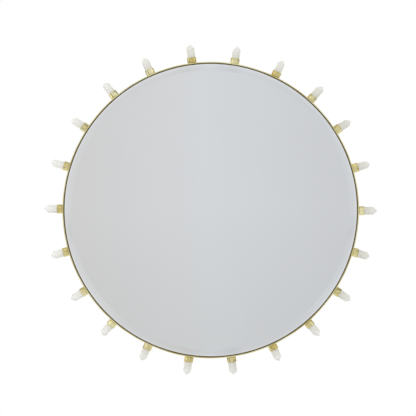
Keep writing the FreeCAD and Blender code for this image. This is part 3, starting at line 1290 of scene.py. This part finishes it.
@dataclass
class BackingBoard:
    """The fibreboard disc behind the glass, its front and lip painted bronze."""

    materials: Materials
    lip_thickness: float = 3.1 * MM
    rebate: float = 2.4 * MM
    edge_round: float = 0.3 * MM
    edge_segments: int = 3
    steps: int = 16 * POINT_COUNT
    node: str = "backing_board"

    @property
    def back(self) -> float:
        """Place of the board's rear face along Y."""
        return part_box(self.node)[1].y

    def build(self, drill: Workpiece) -> None:
        """Turns the board and drills its pilot holes.

        Args:
            drill: The drills, in their places.
        """
        low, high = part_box(self.node)
        radius = high.x
        lip_back = low.y + self.lip_thickness
        work = Workpiece.lathe(
            Plane.LATHE_Y,
            [
                (0.0, low.y, 0.0),
                (radius, low.y, self.edge_round),
                (radius, lip_back, self.edge_round),
                (radius - self.rebate, lip_back, 0.0),
                (radius - self.rebate, high.y, self.edge_round),
                (0.0, high.y, 0.0),
            ],
            self.steps,
            closed=False,
            segments=self.edge_segments,
        )
        work.cut(drill)
        painted = lip_back - self.edge_round
        work.paint(1, lambda centre, normal: centre.y > painted)
        piece = work.finish("fibre_board", [self.materials.bronze_paint, self.materials.fibreboard])
        fit(piece, Body.MIRROR, Slot.BOARD, self.node)


# The ring of quartz points


@dataclass
class PointCup:
    """One turned brass cup, which a screw holds to the band by its neck."""

    number: int
    materials: Materials
    wall: float = 0.75 * MM
    bore_depth: float = 6.0 * MM
    neck_height: float = 1.3 * MM
    neck_inset: float = 2.0 * MM
    hole_radius: float = 2.05 * MM
    foot_round: float = 0.2 * MM
    base_round: float = 0.35 * MM
    rim_round: float = 0.55 * MM
    bore_round: float = 0.15 * MM
    steps: int = 64

    @property
    def node(self) -> str:
        """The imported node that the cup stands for."""
        return f"point_cup_{self.number:02d}"

    @property
    def ring_place(self) -> RingPlace:
        """Where the cup stands round the band."""
        return RingPlace.of_node(self.node)

    @property
    def depth(self) -> float:
        """Place of the cup's axis along Y."""
        low, high = extent(self.node, REARWARD)
        return (low + high) / 2

    def build(self) -> None:
        """Turns the cup and stands it on the band."""
        place = self.ring_place
        foot, rim = extent(self.node, place.outward)
        front, rear = extent(self.node, REARWARD)
        radius = (rear - front) / 2
        height = rim - foot
        neck = radius - self.neck_inset
        bore = radius - self.wall
        floor = height - self.bore_depth
        work = Workpiece.lathe(
            Plane.LATHE_Z,
            [
                (self.hole_radius, 0.0, 0.0),
                (neck, 0.0, self.foot_round),
                (neck, self.neck_height, self.foot_round),
                (radius, self.neck_height, self.base_round),
                (radius, height, self.rim_round),
                (bore, height, self.bore_round),
                (bore, floor, self.bore_round),
                (self.hole_radius, floor, 0.0),
            ],
            self.steps,
        )
        work.place(place.matrix(foot, self.depth))
        piece = work.finish(f"brass_cup_{self.number:02d}", [self.materials.cup_brass])
        fit(piece, Body.MIRROR, Slot.BRASS, self.node)


@dataclass
class QuartzPoint:
    """One natural quartz point, its facets crisp and its edges a little worn."""

    number: int
    materials: Materials
    worn_edge: float = 0.22 * MM
    worn_share: float = 0.45
    worn_segments: int = 3
    facet_angle: float = math.radians(8)
    flatness: float = math.radians(1.0)
    smooth_degrees: float = 14.0

    @property
    def node(self) -> str:
        """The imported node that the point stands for."""
        return f"quartz_point_{self.number:02d}"

    def build(self) -> None:
        """Takes the point's facets from the frame and wears its edges."""
        work = Workpiece.from_node(self.node, self.flatness)
        shortest = min(edge.calc_length() for edge in work.mesh.edges)
        worn = min(self.worn_edge, self.worn_share * shortest)
        work.soften(worn, self.worn_segments, self.facet_angle)
        piece = work.finish(f"quartz_{self.number:02d}", [self.materials.quartz], self.smooth_degrees)
        fit(piece, Body.MIRROR, Slot.QUARTZ, self.node)


# Fasteners and hanging hardware


@dataclass(frozen=True)
class CrossScrew:
    """A screw with a cross recess, drawn with its seat at the origin and its shank along +Z."""

    shank_radius: float
    length: float
    head_radius: float
    head_height: float
    head_round: float = 0.9 * MM
    seat_round: float = 0.15 * MM
    recess_arm: float = 3.8 * MM
    recess_width: float = 1.0 * MM
    recess_depth: float = 1.1 * MM
    recess_foot_share: float = 0.6
    point_length: float = 1.2 * MM
    steps: int = 40

    def recess(self, top: float, turned: float) -> Workpiece:
        """Makes one bar of the recess, which narrows as it goes down.

        Args:
            top: Height of the head's top along Z.
            turned: Angle of the bar about the screw, in radians.

        Returns:
            The cutter.
        """
        cutter = Workpiece()
        bmesh.ops.create_cube(cutter.mesh, size=1.0)
        for vertex in cutter.mesh.verts:
            share = self.recess_foot_share if vertex.co.z > 0 else 1.0
            vertex.co.x *= self.recess_arm * share
            vertex.co.y *= self.recess_width * share
            vertex.co.z *= 2 * self.recess_depth
        cutter.place(Matrix.Translation(UPWARD * top) @ Matrix.Rotation(turned, 4, UPWARD))
        return cutter

    def turned(self, head: Sequence[Corner]) -> Workpiece:
        """Turns a screw and cuts the two bars of its recess.

        Args:
            head: Outline of its head, from the middle of the top to where the shank starts.

        Returns:
            The screw.
        """
        shank = [
            (self.shank_radius, self.length - self.point_length, 0.0),
            (self.shank_radius / 2, self.length, 0.0),
            (0.0, self.length, 0.0),
        ]
        work = Workpiece.lathe(Plane.LATHE_Z, [*head, *shank], self.steps, closed=False)
        _, top, _ = head[0]
        for angle in (0.0, math.pi / 2):
            work.cut(self.recess(top, angle))
        return work

    def pan(self) -> Workpiece:
        """Makes the screw with a pan head, which stands on its seat along -Z.

        Returns:
            The screw.
        """
        return self.turned(
            [
                (0.0, -self.head_height, 0.0),
                (self.head_radius, -self.head_height, self.head_round),
                (self.head_radius, 0.0, self.seat_round),
                (self.shank_radius, 0.0, 0.0),
            ]
        )

    def countersunk(self) -> Workpiece:
        """Makes the screw with a flat head, which is sunk below its seat.

        Returns:
            The screw.
        """
        return self.turned(
            [
                (0.0, 0.0, 0.0),
                (self.head_radius, 0.0, 0.0),
                (self.shank_radius, self.head_height, 0.0),
            ]
        )


class WireBender:
    """Bends round wire in an upright plane, section by section."""

    def __init__(self, radius: float, start: Vector, segments: int = 20) -> None:
        """Starts with a ring of points round the wire, facing along X.

        Args:
            radius: The wire's radius.
            start: The middle of its first end.
            segments: How many points go round it.
        """
        self.work = Workpiece()
        bmesh.ops.create_circle(self.work.mesh, cap_ends=False, segments=segments, radius=radius)
        self.work.place(Matrix.Translation(start) @ Matrix.Rotation(math.pi / 2, 4, REARWARD))
        self.end = self.work.mesh.edges[:]

    def run(self, along: Vector) -> None:
        """Runs the wire straight on.

        Args:
            along: The way and the distance.
        """
        grown = bmesh.ops.extrude_edge_only(self.work.mesh, edges=self.end)["geom"]
        moved = [item for item in grown if isinstance(item, Point)]
        bmesh.ops.translate(self.work.mesh, vec=along, verts=moved)
        edges = [item for item in grown if isinstance(item, Edge)]
        self.end = [edge for edge in edges if all(vertex in moved for vertex in edge.verts)]

    def bend(self, centre: Vector, angle: float, steps: int) -> None:
        """Bends the wire clockwise, as seen from the front.

        Args:
            centre: The middle of the bend.
            angle: How far it bends, in radians.
            steps: How many steps the bend takes.
        """
        ends = {vertex for edge in self.end for vertex in edge.verts}
        swept = bmesh.ops.spin(
            self.work.mesh,
            geom=[*ends, *self.end],
            cent=centre,
            axis=REARWARD,
            dvec=Vector(),
            angle=angle,
            steps=steps,
            use_merge=False,
            use_duplicate=False,
        )
        self.end = [item for item in swept["geom_last"] if isinstance(item, Edge)]


@dataclass
class MountingTab:
    """One steel angle tab, its leg against the band and its foot against the board's back."""

    number: int
    materials: Materials
    band: FrameBand
    board: BackingBoard
    thickness: float = 1.5 * MM
    reach: float = 26.0 * MM
    hole_inset: float = 9.0 * MM
    hole_radius: float = 2.2 * MM
    corner_round: float = 3.0 * MM
    bend_round: float = 1.2 * MM
    eased: float = 0.12 * MM
    steps: int = 8

    @property
    def node(self) -> str:
        """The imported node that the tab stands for."""
        return f"mounting_tab_{self.number}"

    @property
    def screw_place(self) -> Matrix:
        """Place of its screw's seat, with +Z into the board."""
        radius = self.band.inner_radius - self.reach + self.hole_inset
        return RingPlace.of_node(self.node).matrix(radius, self.board.back + self.thickness) @ INTO_BOARD

    def build(self) -> None:
        """Bends the tab from sheet, rounds its foot and drills it."""
        place = RingPlace.of_node(self.node)
        low, high = extent(self.node, REARWARD)
        half_width = extent(self.node, REARWARD.cross(place.outward))[1]
        leg_face = self.band.inner_radius
        foot_end = leg_face - self.reach
        sweep = 2 * math.asin(half_width / leg_face)
        thick = self.thickness
        work = Workpiece()
        work.draw(
            Plane.LATHE_Y,
            [
                (foot_end, low, 0.0),
                (leg_face, low, self.bend_round + thick),
                (leg_face, high, 0.0),
                (leg_face - thick, high, 0.0),
                (leg_face - thick, low + thick, self.bend_round),
                (foot_end, low + thick, 0.0),
            ],
        )
        work.face()
        work.turn(REARWARD, self.steps, sweep)
        work.place(Matrix.Rotation(-sweep / 2 - place.angle, 4, REARWARD))
        middle = (foot_end + leg_face) / 2
        work.round_edges(
            self.corner_round,
            lambda edge: runs_through(edge)
            and edge.verts[0].co.length < middle
            and edge.calc_face_angle(0.0) > PLATE_CORNER,
        )
        work.cut(Workpiece.drill(self.hole_radius, DRILL_REACH * thick, [self.screw_place]))
        work.soften(self.eased)
        piece = work.finish(f"steel_tab_{self.number}", [self.materials.plate_zinc])
        fit(piece, Body.MIRROR, Slot.STEEL, self.node)


@dataclass
class Hanger:
    """One strap hanger, with the D-ring that swings in its knuckle."""

    side: Side
    body: Body
    materials: Materials
    board: BackingBoard
    screw: CrossScrew
    thickness: float = 2.0 * MM
    corner_round: float = 2.0 * MM
    hole_drops: tuple[float, ...] = (10.0 * MM, 28.0 * MM)
    wire_gap: float = 0.08 * MM
    knuckle_degrees: range = range(180, -120, -12)
    jog_share: float = 0.25
    eased: float = 0.12 * MM
    ring_corner: float = 3.0 * MM
    ring_leg: float = 2.0 * MM
    corner_steps: int = 10
    bow_steps: int = 40

    @property
    def strap_node(self) -> str:
        """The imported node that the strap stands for."""
        return f"hanger_strap_{self.side.value}"

    @property
    def ring_node(self) -> str:
        """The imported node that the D-ring stands for."""
        return f"hanger_ring_{self.side.value}"

    @property
    def wire(self) -> float:
        """Radius of the D-ring's wire."""
        low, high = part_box(self.ring_node)
        return (high.y - low.y) / 2

    @property
    def pivot(self) -> Vector:
        """Middle of the D-ring's bar, about which it swings."""
        low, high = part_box(self.ring_node)
        return Vector(((low.x + high.x) / 2, (low.y + high.y) / 2, high.z - self.wire))

    @property
    def screw_places(self) -> list[Matrix]:
        """Places of the strap screws' tops, with +Z into the board."""
        pivot = self.pivot
        top = self.board.back + self.thickness
        return [Matrix.Translation((pivot.x, top, pivot.z - drop)) @ INTO_BOARD for drop in self.hole_drops]

    def knuckle(self, pivot: Vector, radius: float) -> list[Corner]:
        """Draws the knuckle's arc, from the board's side over the wire and round to below it.

        Args:
            pivot: The middle of the arc.
            radius: Its radius.

        Returns:
            Its corners, as for Workpiece.draw.
        """
        angles = [math.radians(degrees) for degrees in self.knuckle_degrees]
        return [(pivot.y + radius * math.cos(a), pivot.z + radius * math.sin(a), 0.0) for a in angles]

    def build_strap(self) -> None:
        """Rolls the strap's knuckle round the wire, and countersinks its two holes."""
        low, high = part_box(self.strap_node)
        pivot = self.pivot
        thick = self.thickness
        bore = self.wire + self.wire_gap
        outer = bore + thick
        jog_start = pivot.z - thick
        jog_end = pivot.z - self.jog_share * thick
        work = Workpiece()
        work.draw(
            Plane.SIDE,
            [
                (low.y, low.z, 0.0),
                (low.y, jog_start, 0.0),
                (pivot.y - outer, jog_end, 0.0),
                *self.knuckle(pivot, outer),
                *reversed(self.knuckle(pivot, bore)),
                (pivot.y - bore, jog_end, 0.0),
                (low.y + thick, jog_start, 0.0),
                (low.y + thick, low.z, 0.0),
            ],
        )
        work.face()
        work.extrude(RIGHTWARD * (high.x - low.x))
        work.place(Matrix.Translation(RIGHTWARD * low.x))
        foot = low.z + thick
        work.round_edges(self.corner_round, lambda edge: runs_through(edge) and edge.verts[0].co.z < foot)
        sink = Workpiece.lathe(
            Plane.LATHE_Z,
            [
                (0.0, -thick, 0.0),
                (self.screw.head_radius + thick, -thick, 0.0),
                (self.screw.shank_radius, self.screw.head_height, 0.0),
                (self.screw.shank_radius, 2 * thick, 0.0),
                (0.0, 2 * thick, 0.0),
            ],
            self.screw.steps,
            closed=False,
        )
        sink.repeat(self.screw_places)
        work.cut(sink)
        work.soften(self.eased)
        piece = work.finish(f"steel_strap_{self.side.value}", [self.materials.plate_zinc])
        fit(piece, Body.MIRROR, Slot.STEEL, self.strap_node)

    def build_ring(self) -> None:
        """Bends the D-ring from round wire: a bar, two corners, two legs and a bow."""
        low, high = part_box(self.ring_node)
        pivot, wire = self.pivot, self.wire
        corner, leg = self.ring_corner, self.ring_leg
        bar = (high.x - low.x) / 2 - wire - corner
        right = pivot + RIGHTWARD * bar
        left = pivot - RIGHTWARD * bar
        bender = WireBender(wire, left)
        bender.run(right - left)
        bender.bend(right - UPWARD * corner, math.pi / 2, self.corner_steps)
        bender.run(-UPWARD * leg)
        bender.bend(pivot - UPWARD * (corner + leg), math.pi, self.bow_steps)
        bender.run(UPWARD * leg)
        bender.bend(left - UPWARD * corner, math.pi / 2, self.corner_steps)
        bender.work.close()
        piece = bender.work.finish(f"steel_ring_{self.side.value}", [self.materials.plate_zinc])
        fit(piece, self.body, Slot.STEEL, self.ring_node)


@dataclass
class Hardware:
    """The steel behind the glass: the tabs, the hangers and every screw."""

    materials: Materials
    band: FrameBand
    board: BackingBoard
    cups: Sequence[PointCup]
    pilot_gap: float = 0.05 * MM
    pilot_room: float = 0.4 * MM
    cup_screw: CrossScrew = CrossScrew(2.0 * MM, 5.72 * MM, 3.5 * MM, 2.2 * MM)
    tab_screw: CrossScrew = CrossScrew(1.9 * MM, 8.0 * MM, 3.6 * MM, 2.0 * MM)
    strap_screw: CrossScrew = CrossScrew(1.75 * MM, 7.0 * MM, 3.4 * MM, 1.7 * MM, recess_arm=3.6 * MM)
    tabs: list[MountingTab] = field(init=False)
    hangers: list[Hanger] = field(init=False)

    def __post_init__(self) -> None:
        """Sets out the tabs and the hangers."""
        numbers = range(1, TAB_COUNT + 1)
        self.tabs = [MountingTab(number, self.materials, self.band, self.board) for number in numbers]
        self.hangers = [
            Hanger(side, body, self.materials, self.board, self.strap_screw)
            for side, body in ((Side.LEFT, Body.RING_LEFT), (Side.RIGHT, Body.RING_RIGHT))
        ]

    @property
    def cup_places(self) -> list[Matrix]:
        """Places of the cup screws' seats inside the band, with +Z outwards."""
        seat = math.sqrt(self.band.inner_radius**2 - self.cup_screw.head_radius**2)
        return [cup.ring_place.matrix(seat, cup.depth) for cup in self.cups]

    @property
    def tab_places(self) -> list[Matrix]:
        """Places of the tab screws' seats, with +Z into the board."""
        return [tab.screw_place for tab in self.tabs]

    @property
    def strap_places(self) -> list[Matrix]:
        """Places of the strap screws' tops, with +Z into the board."""
        return [place for hanger in self.hangers for place in hanger.screw_places]

    def pilot_drill(self) -> Workpiece:
        """Makes the drills for the board's pilot holes.

        Returns:
            The drills, in their places.
        """
        drills = Workpiece()
        for screw, places in ((self.tab_screw, self.tab_places), (self.strap_screw, self.strap_places)):
            radius = screw.shank_radius + self.pilot_gap
            drills.take(Workpiece.drill(radius, 2 * (screw.length + self.pilot_room), places))
        return drills

    def build(self) -> None:
        """Makes every steel part."""
        for name, screw, places, node in (
            ("cup_screw_set", self.cup_screw.pan(), self.cup_places, "cup_screws"),
            ("tab_screw_set", self.tab_screw.pan(), self.tab_places, "tab_screws"),
            ("strap_screw_set", self.strap_screw.countersunk(), self.strap_places, "strap_screws"),
        ):
            screw.repeat(places)
            fit(screw.finish(name, [self.materials.screw_zinc]), Body.MIRROR, Slot.SCREW, node)
        for tab in self.tabs:
            tab.build()
        for hanger in self.hangers:
            hanger.build_strap()
            hanger.build_ring()


# Light and camera


@dataclass(frozen=True)
class PhotoCamera:
    """The photograph's camera: square on to the mirror, with a long lens."""

    distance: float = 4.0
    frame_pixels: int = 416
    metres_per_pixel: float = 1.804 * MM
    centre_pixel: tuple[float, float] = (210.7, 210.06)
    sensor_mm: float = 36.0

    def build(self, depth: float) -> None:
        """Sets up the camera.

        Args:
            depth: Place along Y of the plane where the scale holds.
        """
        data = bpy.data.cameras.new("photo_camera")
        frame_width = self.frame_pixels * self.metres_per_pixel
        data.sensor_width = self.sensor_mm
        data.lens = self.sensor_mm * self.distance / frame_width
        camera = bpy.data.objects.new("photo_camera", data)
        across = self.frame_pixels / 2 - self.centre_pixel[0]
        upright = self.centre_pixel[1] - self.frame_pixels / 2
        camera.location = (
            across * self.metres_per_pixel,
            depth - self.distance,
            upright * self.metres_per_pixel,
        )
        camera.rotation_euler = (math.pi / 2, 0.0, 0.0)
        bpy.context.scene.collection.objects.link(camera)
        bpy.context.scene.camera = camera


@dataclass(frozen=True)
class SoftPanel:
    """A soft square light, aimed at the mirror's middle."""

    name: str
    place: Corner
    side: float
    watts: float

    def build(self) -> None:
        """Hangs the panel, unseen by the camera and in reflections."""
        data = bpy.data.lights.new(self.name, "AREA")
        data.size = self.side
        data.energy = self.watts
        lamp = bpy.data.objects.new(self.name, data)
        lamp.location = self.place
        lamp.rotation_mode = "QUATERNION"
        lamp.rotation_quaternion = (-Vector(self.place)).to_track_quat("-Z", "Y")
        lamp.visible_camera = False
        lamp.visible_glossy = False
        bpy.context.scene.collection.objects.link(lamp)


@dataclass(frozen=True)
class Studio:
    """A plain white sweep, a pale room round the camera, soft panels and a pale floor."""

    ambient: float = 0.93
    floor_height: float = -0.60
    floor_radius: float = 1.35
    floor_centre_depth: float = 0.80
    floor_sides: int = 96
    floor_greys: tuple[Colour, Colour] = ((0.80, 0.80, 0.80), (0.83, 0.83, 0.83))
    floor_grain: Pattern = Pattern(3.0)
    floor_roughness: float = 0.7
    floor_glow: float = 0.42
    front_to_back: tuple[Stop, ...] = (
        (0.0, (0.765, 0.77, 0.79)),
        (0.045, (0.765, 0.775, 0.80)),
        (0.058, (0.97, 0.97, 1.04)),
        (0.10, (0.76, 0.76, 0.76)),
        (0.18, (0.58, 0.58, 0.58)),
        (0.34, (0.98, 0.98, 0.98)),
        (0.52, (0.78, 0.77, 0.76)),
        (0.68, (0.60, 0.59, 0.58)),
        (0.90, (0.60, 0.59, 0.58)),
        (0.975, (0.92, 0.92, 0.92)),
    )
    low_to_high: tuple[Stop, ...] = (
        (0.06, (1.10, 1.10, 1.08)),
        (0.20, (1.08, 1.08, 1.06)),
        (0.26, (0.90, 0.90, 0.88)),
        (0.335, (0.94, 0.94, 0.94)),
        (0.37, (0.99, 1.0, 1.0)),
        (0.45, (0.98, 0.975, 0.98)),
        (0.4685, (0.92, 0.92, 0.91)),
        (0.50, (1.0, 1.0, 1.0)),
        (0.535, (1.0, 1.0, 1.0)),
        (0.60, (0.99, 1.0, 1.0)),
        (0.64, (0.965, 0.97, 0.975)),
        (0.74, (0.99, 1.0, 1.0)),
        (0.94, (0.86, 0.86, 0.86)),
    )
    left_to_right: tuple[Stop, ...] = (
        (0.44, (0.98, 0.96, 0.935)),
        (0.4685, (0.95, 0.92, 0.895)),
        (0.50, (1.0, 1.0, 1.0)),
        (0.5315, (0.915, 0.912, 0.922)),
        (0.55, (0.98, 0.97, 0.97)),
        (0.60, (0.95, 0.945, 0.94)),
    )
    clutter: Pattern = Pattern(2.3, 1.0)
    clutter_level: Span = Span(0.30, 1.66, 0.36, 0.64)
    clutter_at_sides: Span = Span(0.0, 1.0, -0.86, -0.72)
    panels: tuple[SoftPanel, ...] = (
        SoftPanel("key_panel", (-1.2, -1.3, 0.7), 1.4, 3.4),
        SoftPanel("fill_panel", (2.2, -2.2, 0.4), 2.0, 0.8),
        SoftPanel("rear_panel", (1.2, 2.6, 2.2), 2.0, 12.0),
    )

    def room(self, graph: Graph) -> Socket:
        """Colours the room by direction: from front to back, low to high and left to right.

        Its sides are uneven as well, but not what the flat glass reflects.

        Args:
            graph: The world's nodes.

        Returns:
            The colour's socket.
        """
        direction = graph.add("TexCoord").outputs["Generated"]
        shares = graph.add("SeparateXYZ", vector=direction).outputs
        level = graph.spread(graph.noise(direction, self.clutter), self.clutter_level)
        uneven = graph.tint(graph.spread(shares["Y"], self.clutter_at_sides), WHITE, level)
        upright = self.ramp(graph, shares["Z"], self.low_to_high)
        sideways = self.ramp(graph, shares["X"], self.left_to_right)
        colour = self.ramp(graph, shares["Y"], self.front_to_back)
        for factor in (upright, sideways, uneven):
            colour = graph.tint(1.0, colour, factor, Blend.MULTIPLY)
        return colour

    @staticmethod
    def ramp(graph: Graph, share: Socket, stops: Sequence[Stop]) -> Socket:
        """Colours a direction's share along one axis.

        Args:
            graph: The nodes to add to.
            share: The share, from -1 to 1.
            stops: Each stop's place from 0 to 1, and its colour.

        Returns:
            The colour's socket.
        """
        node = graph.add("ValToRGB", fac=graph.spread(share, Span(0.0, 1.0, -1.0, 1.0)))
        elements = node.color_ramp.elements
        for element, (place, colour) in zip(elements, (stops[0], stops[-1])):
            element.position = place
            element.color = (*colour, 1.0)
        for place, colour in stops[1:-1]:
            elements.new(place).color = (*colour, 1.0)
        return node.outputs["Color"]

    def sky(self) -> None:
        """Lights the scene evenly, with white behind the object and the room in its reflections."""
        world = bpy.data.worlds.new("studio")
        bpy.context.scene.world = world
        world.use_nodes = True
        graph = Graph(world.node_tree)
        rays = graph.add("LightPath").outputs
        seen = graph.tint(rays["Is Camera Ray"], self.room(graph), WHITE)
        sharp = rays["Is Camera Ray"]
        for ray in ("Is Glossy Ray", "Is Transmission Ray"):
            sharp = graph.combine(Maths.LARGER, sharp, rays[ray])
        colour = graph.tint(sharp, (self.ambient,) * 3, seen)
        background = graph.add("Background", color=colour)
        graph.add("OutputWorld", surface=background.outputs["Background"])

    def floor(self) -> None:
        """Lays the pale floor, which stays white to the camera and keeps the object's shadow."""
        work = Workpiece()
        bmesh.ops.create_circle(work.mesh, cap_ends=True, segments=self.floor_sides, radius=self.floor_radius)
        work.place(Matrix.Translation((0.0, self.floor_centre_depth, self.floor_height)))
        surface = Surface("pale floor")
        grey = surface.tint(surface.clouds(self.floor_grain), *self.floor_greys)
        surface.shade(base_color=grey, roughness=self.floor_roughness)
        camera_ray = surface.add("LightPath").outputs["Is Camera Ray"]
        glow = surface.add("Emission", strength=surface.combine(Maths.MULTIPLY, camera_ray, self.floor_glow))
        total = surface.add("AddShader")
        surface.feed(total.inputs[0], surface.shader.outputs["BSDF"])
        surface.feed(total.inputs[1], glow.outputs["Emission"])
        surface.set(surface.output, surface=total.outputs["Shader"])
        work.finish("floor", [surface.material])

    def build(self) -> None:
        """Sets up the light, the floor and the colours' plain view."""
        self.sky()
        self.floor()
        for panel in self.panels:
            panel.build()
        bpy.context.scene.view_settings.view_transform = "Standard"


# The whole mirror


@dataclass
class CrystalMirror:
    """The whole mirror, built from the band outwards and then behind."""

    materials: Materials

    def build(self) -> None:
        """Builds and fits every piece."""
        band = FrameBand(self.materials)
        board = BackingBoard(self.materials)
        cups = [PointCup(number, self.materials) for number in range(1, POINT_COUNT + 1)]
        hardware = Hardware(self.materials, band, board, cups)
        band.build([cup.ring_place.matrix(band.outer_radius, cup.depth) for cup in cups])
        MirrorGlass(self.materials).build()
        board.build(hardware.pilot_drill())
        for cup in cups:
            cup.build()
            QuartzPoint(cup.number, self.materials).build()
        hardware.build()
        dress("glass_tape_strips", self.materials.foam)
        dress("point_resin", self.materials.resin)


def main() -> None:
    """Builds the mirror, its light and its camera."""
    logging.basicConfig(level=logging.INFO, format="%(message)s")
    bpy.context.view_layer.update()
    materials = Materials.build()
    CrystalMirror(materials).build()
    PhotoCamera().build(PointCup(1, materials).depth)
    Studio().build()


if __name__ == "__main__":
    main()
